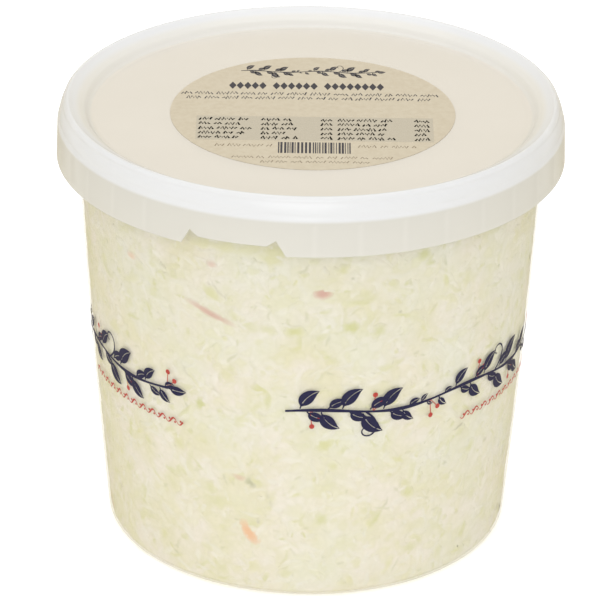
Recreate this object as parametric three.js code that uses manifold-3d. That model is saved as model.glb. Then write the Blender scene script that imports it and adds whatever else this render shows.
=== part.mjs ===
// Creamy coleslaw in a translucent round tub with a press-on lid and a paper label.
// Millimetres, +Z up, origin at the centre of the tub's base.

import * as THREE from 'three';
import { mergeVertices } from 'three/addons/utils/BufferGeometryUtils.js';
import Module from 'manifold-3d';

const wasm = await Module();
wasm.setup();

// ---- driving dimensions ----

const SIDES = 56; // facets round every turned piece
const GAP = 0.3; // clearance between neighbouring pieces

const TUB_BASE_RADIUS = 72.7;
const TUB_CORNER = 4.2; // radius of the turn from base to wall
const TUB_WALL_TOP = 157.6; // where the wall turns out into the rim
const TUB_WALL_TOP_RADIUS = 83.65;
const TUB_WALL_BOW = 0.9; // the full tub bulges this much at mid height
const TUB_WALL = 1.1;
const TUB_FLOOR = 1.4;
const TUB_FOOT_INNER = 62; // the base inside this radius is lifted off the table
const TUB_FOOT_LIFT = 1.2;
const RIM_TOP = 160.4;
const RIM_RADIUS = 87.4;
const RIM_WALL = 1.0;
const RIM_LIP_BOTTOM = 154.8;

const LID_WALL = 0.9;
const LID_PANEL_HEIGHT = 157.6; // top face of the sunken panel
const LID_GROOVE_INNER = 75.4; // a shallow groove runs round the panel's edge
const LID_GROOVE_OUTER = 78.8;
const LID_GROOVE_DEPTH = 0.5;
// the raised rim's upper face from the groove out and down to the skirt, as [radius, height]
const LID_RIM = [
  [79.4, 158.3], [80.3, 159.6], [81.9, 160.7], [84.5, 161.9], [86.3, 162.9],
  [87.4, 162.4], [88.1, 161.4], [89.7, 157.0], [90.0, 155.8],
];
const LID_SKIRT_BOTTOM = 141.8;
const LID_SKIRT_RADIUS = 90.5;

const CATCH_RIDGE_HEIGHT = 153.8; // hooks under the tub's rim lip
const CATCH_RIDGE_DEPTH = 2.6;
const CATCH_RIDGE_RUN_IN = 2.2; // height of the slope below it
const RIB_COUNT = 36; // stiffening ribs inside the skirt
const RIB_WIDTH = 0.9;
const RIB_DEPTH = 1.1;
const RIB_TURN = -1.3; // degrees from the front to the first rib
const RIB_HEM_GAP = 0.8; // the ribs start this far above the hem

// tear tab in the skirt, angles in degrees to the left of the front
const TAB_START = 5.2;
const TAB_END = 29.1;
const TAB_LIFT = 3.4; // its lower edge is this far above the skirt's
const TAB_NOTCH = 5.7; // the V cuts beside it reach this high
const TAB_NOTCH_HALF = 2.1; // half the width of a V cut, in degrees

const COLESLAW_TOP = 153.9;
const COLESLAW_EDGE = 1.5; // chamfer where its top meets its side
const COLESLAW_WAVE = 0.5; // unevenness of its surface

const LABEL_RADIUS = 50.6;
const LABEL_THICKNESS = 0.2;
const LABEL_CENTRE = [0.5, -2.1];

// ---- helpers ----

const v2 = (x, y) => new THREE.Vector2(x, y);

// points along an arc, angles in degrees, both ends included
function arc(centreR, centreZ, radius, from, to, steps) {
  const points = [];
  for (let i = 0; i <= steps; i++) {
    const a = THREE.MathUtils.degToRad(from + ((to - from) * i) / steps);
    points.push(v2(centreR + radius * Math.cos(a), centreZ + radius * Math.sin(a)));
  }
  return points;
}

// an open line moved sideways by a distance, to its left as it is walked
function offsetLine(line, distance) {
  return line.map((point, i) => {
    const before = line[Math.max(i - 1, 0)];
    const after = line[Math.min(i + 1, line.length - 1)];
    const inDirection = point.clone().sub(i > 0 ? before : point);
    const outDirection = after.clone().sub(point);
    if (i === 0) inDirection.copy(outDirection);
    if (i === line.length - 1) outDirection.copy(inDirection);
    const normal = (d) => v2(-d.y, d.x).normalize();
    const mitre = normal(inDirection).add(normal(outDirection)).normalize();
    const stretch = 1 / Math.max(mitre.dot(normal(inDirection)), 0.5);
    return point.clone().addScaledVector(mitre, distance * stretch);
  });
}

// a closed solid turned about Z from a profile of (radius, height) points
function turned(profile) {
  const geometry = new THREE.LatheGeometry(profile, SIDES);
  geometry.rotateX(Math.PI / 2);
  return welded(geometry);
}

function welded(geometry) {
  geometry.deleteAttribute('normal');
  geometry.deleteAttribute('uv');
  return mergeVertices(geometry, 1e-4);
}

function toManifold(geometry) {
  const solid = welded(geometry);
  return new wasm.Manifold(new wasm.Mesh({
    numProp: 3,
    vertProperties: new Float32Array(solid.attributes.position.array),
    triVerts: new Uint32Array(solid.index.array),
  }));
}

function fromManifold(manifold) {
  const mesh = manifold.getMesh();
  const geometry = new THREE.BufferGeometry();
  geometry.setAttribute('position', new THREE.BufferAttribute(new Float32Array(mesh.vertProperties), 3));
  geometry.setIndex(new THREE.BufferAttribute(new Uint32Array(mesh.triVerts), 1));
  return geometry;
}

function piece(name, geometry, color, roughness, opacity = 1) {
  geometry.computeVertexNormals();
  const material = new THREE.MeshStandardMaterial({
    color, roughness, metalness: 0, opacity, transparent: opacity < 1,
  });
  const mesh = new THREE.Mesh(geometry, material);
  mesh.name = name;
  return mesh;
}

// outer radius of the tub's wall at a height
function tubRadius(z) {
  const t = (z - TUB_CORNER) / (TUB_WALL_TOP - TUB_CORNER);
  const taper = TUB_BASE_RADIUS + (TUB_WALL_TOP_RADIUS - TUB_BASE_RADIUS) * t;
  return taper + TUB_WALL_BOW * Math.sin(Math.PI * Math.min(Math.max(t, 0), 1));
}

// the wall as a line of points from one height to another, set in by a distance
function wallLine(from, to, steps, inset) {
  const points = [];
  for (let i = 0; i <= steps; i++) {
    const z = from + ((to - from) * i) / steps;
    points.push(v2(tubRadius(z) - inset, z));
  }
  return points;
}

// ---- sub-parts ----

function tubGeometry() {
  const cornerRadius = TUB_BASE_RADIUS - TUB_CORNER;
  const underside = [
    v2(0, TUB_FOOT_LIFT),
    v2(TUB_FOOT_INNER, TUB_FOOT_LIFT),
    v2(TUB_FOOT_INNER + TUB_FOOT_LIFT, 0),
    ...arc(cornerRadius, TUB_CORNER, TUB_CORNER, -90, 0, 3),
  ];
  const outerWall = wallLine(TUB_CORNER, TUB_WALL_TOP, 5, 0).slice(1);

  // the rim turns out over the top and down into a lip
  const lipInner = RIM_RADIUS - RIM_WALL;
  const channelHalf = (lipInner - TUB_WALL_TOP_RADIUS) / 2;
  const channelCentre = TUB_WALL_TOP_RADIUS + channelHalf;
  const crown = RIM_TOP - RIM_WALL - channelHalf;
  const rim = [
    ...arc(channelCentre, crown, channelHalf, 180, 0, 3),
    v2(lipInner, RIM_LIP_BOTTOM),
    v2(RIM_RADIUS, RIM_LIP_BOTTOM),
    ...arc(channelCentre, crown, RIM_TOP - crown, 0, 180, 5),
  ];

  const floorTop = TUB_FOOT_LIFT + TUB_FLOOR;
  const innerCorner = TUB_CORNER - TUB_WALL;
  const innerWall = wallLine(TUB_WALL_TOP - 1, TUB_CORNER + TUB_WALL, 5, TUB_WALL);
  const floor = [
    ...arc(cornerRadius, floorTop + innerCorner, innerCorner, 0, -90, 2).slice(1),
    v2(0, floorTop),
  ];
  return turned([...underside, ...outerWall, ...rim, ...innerWall, ...floor]);
}

function coleslawGeometry() {
  const inset = TUB_WALL + GAP;
  const bottom = TUB_FOOT_LIFT + TUB_FLOOR + GAP;
  const corner = TUB_CORNER - TUB_WALL;
  const cornerRadius = TUB_BASE_RADIUS - TUB_CORNER - GAP;
  const shoulder = COLESLAW_TOP - COLESLAW_EDGE;
  const side = wallLine(TUB_CORNER + inset, shoulder, 5, inset);
  const topEdge = side[side.length - 1].x - COLESLAW_EDGE;
  const profile = [
    v2(0, bottom),
    ...arc(cornerRadius, bottom + corner, corner, -90, -30, 2),
    ...side,
    v2(topEdge, COLESLAW_TOP),
    v2(topEdge * 0.66, COLESLAW_TOP),
    v2(topEdge * 0.33, COLESLAW_TOP),
    v2(0, COLESLAW_TOP),
  ];
  const geometry = turned(profile);
  const position = geometry.attributes.position;
  for (let i = 0; i < position.count; i++) {
    const [x, y, z] = [position.getX(i), position.getY(i), position.getZ(i)];
    if (z < COLESLAW_TOP - 0.01 || Math.hypot(x, y) > topEdge - 1) continue;
    position.setZ(i, z + COLESLAW_WAVE * Math.sin(x / 17 + 0.6) * Math.cos(y / 14));
  }
  return geometry;
}

// upper face of the lid, from its centre out and down to the skirt's hem
function lidLine() {
  const grooveFloor = LID_PANEL_HEIGHT - LID_GROOVE_DEPTH;
  return [
    v2(0, LID_PANEL_HEIGHT),
    v2(LID_GROOVE_INNER, LID_PANEL_HEIGHT),
    v2(LID_GROOVE_INNER + LID_GROOVE_DEPTH, grooveFloor),
    v2(LID_GROOVE_OUTER - LID_GROOVE_DEPTH, grooveFloor),
    ...LID_RIM.map(([radius, height]) => v2(radius, height)),
    v2(LID_SKIRT_RADIUS, LID_SKIRT_BOTTOM),
  ];
}

function lidShell() {
  const upper = lidLine();
  const lower = offsetLine(upper, -LID_WALL);
  const lowerCentre = v2(0, LID_PANEL_HEIGHT - LID_WALL);
  const skirtInner = LID_SKIRT_RADIUS - LID_WALL;
  const ridge = [
    v2(skirtInner - 0.35, CATCH_RIDGE_HEIGHT + 1.2),
    v2(skirtInner - CATCH_RIDGE_DEPTH, CATCH_RIDGE_HEIGHT),
    v2(skirtInner - 0.2, CATCH_RIDGE_HEIGHT - CATCH_RIDGE_RUN_IN),
  ];
  const hem = v2(skirtInner, LID_SKIRT_BOTTOM);
  return turned([lowerCentre, ...lower.slice(1, -1), ...ridge, hem, ...upper.reverse()]);
}

// point on a cylinder, with the angle measured to the left of the front
function onCylinder(radius, degrees, z) {
  const a = THREE.MathUtils.degToRad(degrees);
  return [-radius * Math.sin(a), -radius * Math.cos(a), z];
}

// a closed block bent round the skirt, between two lines of (degrees, height) points
function bentBlock(lowerLine, upperLine, innerRadius, outerRadius) {
  const corners = [];
  lowerLine.forEach(([degrees, z], i) => {
    const [upperDegrees, upperZ] = upperLine[i];
    corners.push(onCylinder(innerRadius, degrees, z), onCylinder(outerRadius, degrees, z));
    corners.push(onCylinder(outerRadius, upperDegrees, upperZ), onCylinder(innerRadius, upperDegrees, upperZ));
  });
  const index = [0, 2, 1, 0, 3, 2];
  const last = (lowerLine.length - 1) * 4;
  index.push(last, last + 1, last + 2, last, last + 2, last + 3);
  for (let i = 0; i < lowerLine.length - 1; i++) {
    for (let side = 0; side < 4; side++) {
      const [a, b] = [i * 4 + side, i * 4 + ((side + 1) % 4)];
      index.push(a, b, a + 4, b, b + 4, a + 4);
    }
  }
  const geometry = new THREE.BufferGeometry();
  geometry.setAttribute('position', new THREE.Float32BufferAttribute(corners.flat(), 3));
  geometry.setIndex(index);
  return geometry;
}

// what is cut from the hem: a long shallow window with a V at each end
function tabCutter() {
  const lift = LID_SKIRT_BOTTOM + TAB_LIFT;
  const peak = LID_SKIRT_BOTTOM + TAB_NOTCH;
  const below = LID_SKIRT_BOTTOM - 1;
  const upper = [
    [TAB_START, LID_SKIRT_BOTTOM],
    [TAB_START + TAB_NOTCH_HALF, peak],
    [TAB_START + 2 * TAB_NOTCH_HALF, lift],
    [(TAB_START + TAB_END) / 2, lift],
    [TAB_END - 2 * TAB_NOTCH_HALF, lift],
    [TAB_END - TAB_NOTCH_HALF, peak],
    [TAB_END, LID_SKIRT_BOTTOM],
  ];
  const lower = upper.map(([degrees]) => [degrees, below]);
  return bentBlock(lower, upper, LID_SKIRT_RADIUS - 3, LID_SKIRT_RADIUS + 3);
}

function ribGeometry(degrees) {
  const bottom = LID_SKIRT_BOTTOM + RIB_HEM_GAP;
  const top = CATCH_RIDGE_HEIGHT - 0.4;
  const outer = LID_SKIRT_RADIUS - LID_WALL / 2;
  const depth = RIB_DEPTH + LID_WALL / 2;
  const rib = new THREE.BoxGeometry(RIB_WIDTH, depth, top - bottom);
  rib.translate(0, -(outer - depth / 2), (top + bottom) / 2);
  rib.rotateZ(-THREE.MathUtils.degToRad(degrees));
  return rib;
}

function lidGeometry() {
  let lid = toManifold(lidShell());
  for (let i = 0; i < RIB_COUNT; i++) {
    const degrees = (360 / RIB_COUNT) * i + RIB_TURN;
    const inTab = degrees > TAB_START - 1 && degrees < TAB_END + 1;
    if (!inTab) lid = lid.add(toManifold(ribGeometry(degrees)));
  }
  return fromManifold(lid.subtract(toManifold(tabCutter())));
}

function labelGeometry() {
  const label = turned([
    v2(0, LID_PANEL_HEIGHT),
    v2(LABEL_RADIUS, LID_PANEL_HEIGHT),
    v2(LABEL_RADIUS, LID_PANEL_HEIGHT + LABEL_THICKNESS),
    v2(0, LID_PANEL_HEIGHT + LABEL_THICKNESS),
  ]);
  label.translate(LABEL_CENTRE[0], LABEL_CENTRE[1], 0);
  return label;
}

// ---- the whole ----

const coleslawTub = new THREE.Group();
coleslawTub.add(
  piece('tub', tubGeometry(), 0xede7d0, 0.35, 0.45),
  piece('coleslaw', coleslawGeometry(), 0xeee9d2, 0.6),
  piece('lid', lidGeometry(), 0xeeece4, 0.35, 0.7),
  piece('label', labelGeometry(), 0xd6caac, 0.6),
);

export default coleslawTub;
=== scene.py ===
import math

import bpy
import numpy as np
from mathutils import Matrix, Vector


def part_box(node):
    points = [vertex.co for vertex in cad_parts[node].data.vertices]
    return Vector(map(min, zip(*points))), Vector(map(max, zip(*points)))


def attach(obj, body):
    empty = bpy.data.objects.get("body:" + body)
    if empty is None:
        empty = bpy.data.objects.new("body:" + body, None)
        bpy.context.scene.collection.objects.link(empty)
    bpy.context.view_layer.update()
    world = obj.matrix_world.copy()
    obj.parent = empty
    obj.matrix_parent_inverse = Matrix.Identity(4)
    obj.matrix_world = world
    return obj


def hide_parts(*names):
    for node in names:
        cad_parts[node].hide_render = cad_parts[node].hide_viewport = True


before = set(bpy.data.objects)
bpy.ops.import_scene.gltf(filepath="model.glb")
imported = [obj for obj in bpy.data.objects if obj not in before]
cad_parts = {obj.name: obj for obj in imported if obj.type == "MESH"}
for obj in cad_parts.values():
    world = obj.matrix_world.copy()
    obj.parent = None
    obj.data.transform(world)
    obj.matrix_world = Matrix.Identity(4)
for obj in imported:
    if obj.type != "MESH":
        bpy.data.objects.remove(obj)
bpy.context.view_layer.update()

# Creamy coleslaw in a milky round tub with a press-on lid and a paper label.
# Sizes are in millimetres. Angles go round the tub in degrees, from 0 at the front to the right.

MM = 0.001
PIECES_ON = "root"

# ---- sizes ----

TUB_BASE_RADIUS = 72.7
TUB_CORNER = 4.2
TUB_WALL_TOP = 157.6
TUB_WALL_TOP_RADIUS = 83.65
TUB_WALL_BOW = 0.9
TUB_WALL = 1.1
TUB_FLOOR = 1.4
TUB_FOOT_INNER = 62.0
TUB_FOOT_LIFT = 1.2
RIM_TOP = 160.4
RIM_RADIUS = 87.4
RIM_WALL = 1.0
RIM_LIP_BOTTOM = 154.8

LID_WALL = 0.9
LID_PANEL_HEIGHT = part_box("label")[0].z / MM
LID_RIM = [  # radius and height along its upper face, from the panel out and down to the skirt
    (75.2, 157.6), (76.2, 157.56), (77.2, 157.47), (78.0, 157.5), (78.7, 157.65),
    (79.3, 158.2), (79.9, 159.0), (80.6, 159.8), (81.4, 160.3), (82.2, 160.8), (84.4, 161.8),
    (85.6, 162.5), (86.3, 162.9), (87.1, 162.7), (88.0, 161.7), (88.1, 160.9), (88.9, 159.4),
    (89.45, 157.5), (89.5, 156.7), (90.0, 155.3), (90.1, 154.5)]
# The ring's whiter tone reaches down the shoulder to where the front softbox's shine ends: partly the
# white rim under it, partly a painted highlight.
LID_RING_AND_HIGHLIGHT_HEIGHTS = (153.9, 155.3)  # the skirt's warmer tone gives way to the ring's between these
# The inner wall's lighter tone is painted light, set against the shade between the panel and the crown.
LID_LIT_WALL_RADII = (77.8, 79.2)  # on top, the panel's tone gives way to the inner wall's here
LID_RING_RADII = (81.8, 84.4)  # and that to the ring's here
LID_SKIRT_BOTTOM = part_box("lid")[0].z / MM
LID_SKIRT_RADIUS = 90.5
CATCH_RIDGE_HEIGHT = 153.8
CATCH_RIDGE_DEPTH = 2.6
CATCH_RIDGE_FALL = 2.2  # its underside slopes back to the skirt over this height
RIB_COUNT = 36
RIB_TURN = 1.3  # degrees from the front to the first rib
RIB_WIDTH = 0.9
RIB_DEPTH = 1.1
RIB_SHOWS = 0.25  # how much milkier the skirt looks in front of a rib
RIB_SHOWS_HALF = 0.55  # degrees to each side of the rib
RIB_SHOWS_BEYOND = 89.9  # radius, so that it is on the skirt's outer face only

TAB_LEFT = -29.1  # the tear tab's ends, in degrees
TAB_RIGHT = -5.2
TAB_LIFT = 3.4  # its hem is this much higher, and its notches are this deep
TAB_NOTCH = 5.7
TAB_NOTCH_HALF = 2.1  # degrees

COLESLAW_TOP = 153.9
COLESLAW_FLOOR = TUB_FOOT_LIFT + TUB_FLOOR
INTO_WALL = 0.25  # the dressing reaches this far into the wall, so that no air shows

LABEL_RADIUS = 50.6
LABEL_CENTRE = (0.5, -2.1)
LABEL_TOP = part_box("label")[1].z / MM

PRINT_LIFT = 0.03  # ink stands this proud of what it is printed on

ROUND = 360  # steps round the turned pieces
LABEL_ROUND = 160
SEED = 20


# ---- mesh helpers ----

def arc(centre_r, centre_z, radius, start, end, steps):
    """Points (radius, height) along an arc, both ends included, angles in degrees."""
    turns = np.radians(np.linspace(start, end, steps + 1))
    return [(centre_r + radius * math.cos(a), centre_z + radius * math.sin(a)) for a in turns]


def even_turns(count):
    """Angles at even steps round a whole turn, in degrees."""
    return np.arange(count) * 360 / count


def on_tub(radius, degrees, height):
    """A point at an angle round the tub, 0 at the front and rising to the right."""
    turn = np.radians(degrees)
    return np.stack([radius * np.sin(turn), -radius * np.cos(turn), height + 0 * turn], -1)


def add_piece(name, verts, faces, material, node=None, sharp=35):
    """One mesh object, given in millimetres, that rides with the tub. Where its faces meet at
    more than sharp degrees, the edge stays crisp."""
    mesh = bpy.data.meshes.new(name)
    mesh.from_pydata((np.asarray(verts) * MM).tolist(), [], faces)
    mesh.shade_smooth()
    mesh.set_sharp_from_angle(angle=math.radians(sharp))
    piece = bpy.data.objects.new(name, mesh)
    bpy.context.scene.collection.objects.link(piece)
    piece.data.materials.append(material)
    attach(piece, PIECES_ON)
    if node:
        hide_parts(node)
    return piece


def turned(profile, angles, follow=None, lift=None):
    """A profile of (radius, height) points turned round Z, closed on itself or on the axis.

    follow gives each point's share, from 0 to 1, of lift(angle), which raises it."""
    profile = np.array(profile, float)
    count, steps = len(profile), len(angles)
    rises = np.zeros((count, steps)) if lift is None else np.outer(follow, lift(angles))
    rings = on_tub(profile[:, 0, None], angles[None, :], profile[:, 1, None] + rises)
    verts, first, on_axis = [], [], profile[:, 0] < 1e-6
    for ring, alone in zip(rings, on_axis):
        first.append(len(verts))
        verts.extend(ring[:1] if alone else ring)
    faces = []
    last = count if not on_axis.any() else count - 1
    for i in range(last):
        k = (i + 1) % count
        for j in range(steps):
            n = (j + 1) % steps
            a, b = first[i], first[k]
            if on_axis[i]:
                faces.append((a, b + n, b + j))
            elif on_axis[k]:
                faces.append((a + j, a + n, b))
            else:
                faces.append((a + j, a + n, b + n, b + j))
    return verts, faces


def offset_line(line, distance):
    """An open line moved sideways, to its left as it is walked."""
    line = np.array(line, float)
    runs = np.diff(line, axis=0)
    normals = np.stack([-runs[:, 1], runs[:, 0]], -1) / np.linalg.norm(runs, axis=1)[:, None]
    before, after = np.vstack([normals[:1], normals]), np.vstack([normals, normals[-1:]])
    mitre = before + after
    mitre /= np.linalg.norm(mitre, axis=1)[:, None]
    stretch = 1 / np.maximum((mitre * before).sum(1), 0.5)
    return line + mitre * (distance * stretch)[:, None]


def smooth_line(line, rounds):
    """Rounds the corners of an open line by cutting them (Chaikin), keeping both ends."""
    line = np.array(line, float)
    for _ in range(rounds):
        near = line[:-1] * 0.75 + line[1:] * 0.25
        far = line[:-1] * 0.25 + line[1:] * 0.75
        middle = np.stack([near, far], 1).reshape(-1, 2)[1:-1]
        line = np.vstack([line[:1], middle, line[-1:]])
    return line


def wall_radius(height):
    """Outer radius of the tub's wall, which tapers and bows out a little."""
    t = (height - TUB_CORNER) / (TUB_WALL_TOP - TUB_CORNER)
    taper = TUB_BASE_RADIUS + (TUB_WALL_TOP_RADIUS - TUB_BASE_RADIUS) * t
    radius = taper + TUB_WALL_BOW * np.sin(np.pi * np.clip(t, 0, 1))
    drop = np.clip(TUB_CORNER - height, 0, TUB_CORNER)
    return np.where(t < 0, TUB_BASE_RADIUS - TUB_CORNER + np.sqrt(TUB_CORNER**2 - drop**2), radius)


# ---- materials ----

def hex_colour(text):
    """An sRGB hex colour as linear RGBA."""
    parts = [int(text[i:i + 2], 16) / 255 for i in (0, 2, 4)]
    return [c / 12.92 if c <= 0.04045 else ((c + 0.055) / 1.055) ** 2.4 for c in parts] + [1.0]


def node(tree, kind, inputs, **settings):
    """Adds a node with its settings; inputs gives each socket a value or a link."""
    made = tree.nodes.new(kind)
    for name, value in settings.items():
        setattr(made, name, value)
    for socket, value in inputs.items():
        if isinstance(value, bpy.types.NodeSocket):
            tree.links.new(value, made.inputs[socket])
        else:
            made.inputs[socket].default_value = value
    return made


def new_material(name):
    """A new material and its node tree, empty."""
    material = bpy.data.materials.new(name)
    material.use_nodes = True
    material.node_tree.nodes.clear()
    return material, material.node_tree


def per_mm(size):
    """The texture scale at which a pattern repeats about every size millimetres."""
    return 1 / (size * MM)


def finish(tree, shader):
    """Ends a material in its shader."""
    node(tree, "ShaderNodeOutputMaterial", {"Surface": shader.outputs[0]})


TUB_OPACITY = 0.24
TUB_ROUGHNESS = 0.3
LID_OPACITY = 0.82
LID_ROUGHNESS = 0.22
DRESSING_COOLING = (1.0, 0, 1.6)  # the dressing gets cooler along this, by so much a metre
BIT_SIZE = 3.4  # the finest bits that show in the dressing
BIT_PULL = (6 * MM, 6 * MM, 4 * MM)  # how far their outlines are pushed out of line


def satin_plastic(tree, place, base, opacity, roughness):
    """The surface that both mouldings share: slow waves, a mould's fine grain, drawn coarser than
    it is so that it shows, and a satin shine."""
    grain = node(tree, "ShaderNodeTexNoise", {"Vector": place, "Scale": per_mm(0.6), "Detail": 2.0})
    swell = node(tree, "ShaderNodeTexNoise", {"Vector": place, "Scale": per_mm(26), "Detail": 1.0})
    rough = node(tree, "ShaderNodeMapRange",
                 {"Value": grain.outputs["Fac"], "To Min": roughness - 0.04, "To Max": roughness + 0.05})
    waves = node(tree, "ShaderNodeBump",
                 {"Height": swell.outputs["Fac"], "Strength": 0.3, "Distance": 0.8 * MM})
    relief = node(tree, "ShaderNodeBump",
                  {"Height": grain.outputs["Fac"], "Strength": 0.1, "Distance": 0.01 * MM,
                   "Normal": waves.outputs["Normal"]})
    shader = node(tree, "ShaderNodeBsdfPrincipled",
                  {"Base Color": base, "Roughness": rough.outputs["Result"], "IOR": 1.49,
                   "Alpha": opacity, "Normal": relief.outputs["Normal"]})
    finish(tree, shader)


def tub_polypropylene():
    """Natural polypropylene, injection moulded thin: milky enough to soften what is behind it,
    faintly clouded where the wall is thicker, with a satin shine."""
    material, tree = new_material("natural polypropylene, thin satin moulding")
    place = node(tree, "ShaderNodeTexCoord", {}).outputs["Object"]
    clouds = node(tree, "ShaderNodeTexNoise",
                  {"Vector": place, "Scale": per_mm(24), "Detail": 3.0, "Roughness": 0.5})
    base = node(tree, "ShaderNodeMix",
                {"Factor": clouds.outputs["Fac"], 6: hex_colour("E8E3D0"), 7: hex_colour("EEEADA")},
                data_type="RGBA")
    satin_plastic(tree, place, base.outputs[2], TUB_OPACITY, TUB_ROUGHNESS)
    return material


def lid_polypropylene():
    """Milky polypropylene, injection moulded thicker: warm where it covers the food or hangs
    free, and cooler and whiter in the ring that stands on the tub's own white rim. That white is
    partly a painted highlight where it runs down onto the shoulder, and the inner wall below the
    crown is painted lighter, as painted light against the shade it stands in."""
    material, tree = new_material("milky polypropylene, satin moulding")
    place = node(tree, "ShaderNodeTexCoord", {}).outputs["Object"]
    parts = node(tree, "ShaderNodeSeparateXYZ", {"Vector": place})
    flat = node(tree, "ShaderNodeCombineXYZ", {"X": parts.outputs["X"], "Y": parts.outputs["Y"]})
    radius = node(tree, "ShaderNodeVectorMath", {0: flat.outputs[0]}, operation="LENGTH")
    above = node(tree, "ShaderNodeMapRange",
                 {"Value": parts.outputs["Z"], "From Min": LID_RING_AND_HIGHLIGHT_HEIGHTS[0] * MM,
                  "From Max": LID_RING_AND_HIGHLIGHT_HEIGHTS[1] * MM}, interpolation_type="SMOOTHSTEP")
    outside, beyond = [
        node(tree, "ShaderNodeMapRange",
             {"Value": radius.outputs["Value"], "From Min": radii[0] * MM, "From Max": radii[1] * MM},
             interpolation_type="SMOOTHSTEP")
        for radii in (LID_LIT_WALL_RADII, LID_RING_RADII)]
    # where the lighter colours go: the inner wall's painted light, and the ring's white with its painted
    # highlight
    ring = node(tree, "ShaderNodeMath", {0: above.outputs[0], 1: outside.outputs[0]},
                operation="MULTIPLY")
    clouds = node(tree, "ShaderNodeTexNoise",
                  {"Vector": place, "Scale": per_mm(30), "Detail": 3.0, "Roughness": 0.5})
    skirt = node(tree, "ShaderNodeMix",
                 {"Factor": clouds.outputs["Fac"], 6: hex_colour("E0DDD3"), 7: hex_colour("E4E1D7")},
                 data_type="RGBA")
    panel = node(tree, "ShaderNodeMix",
                 {"Factor": clouds.outputs["Fac"], 6: hex_colour("EDE7DB"), 7: hex_colour("F1EBE0")},
                 data_type="RGBA")
    low = node(tree, "ShaderNodeMix",
               {"Factor": outside.outputs[0], 6: panel.outputs[2], 7: skirt.outputs[2]},
               data_type="RGBA")
    ribbed = node(tree, "ShaderNodeMix",
                  {"Factor": node(tree, "ShaderNodeAttribute", {}, attribute_name="rib").outputs["Fac"],
                   6: low.outputs[2], 7: hex_colour("EEEBE2")}, data_type="RGBA")
    # the inner wall's colour is painted light; the ring's white is partly a painted highlight
    white = node(tree, "ShaderNodeMix",
                 {"Factor": beyond.outputs[0], 6: hex_colour("F1EEE6"), 7: hex_colour("F0F0EF")},
                 data_type="RGBA")
    base = node(tree, "ShaderNodeMix",
                {"Factor": ring.outputs[0], 6: ribbed.outputs[2], 7: white.outputs[2]},
                data_type="RGBA")
    satin_plastic(tree, place, base.outputs[2], LID_OPACITY, LID_ROUGHNESS)
    return material


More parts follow.
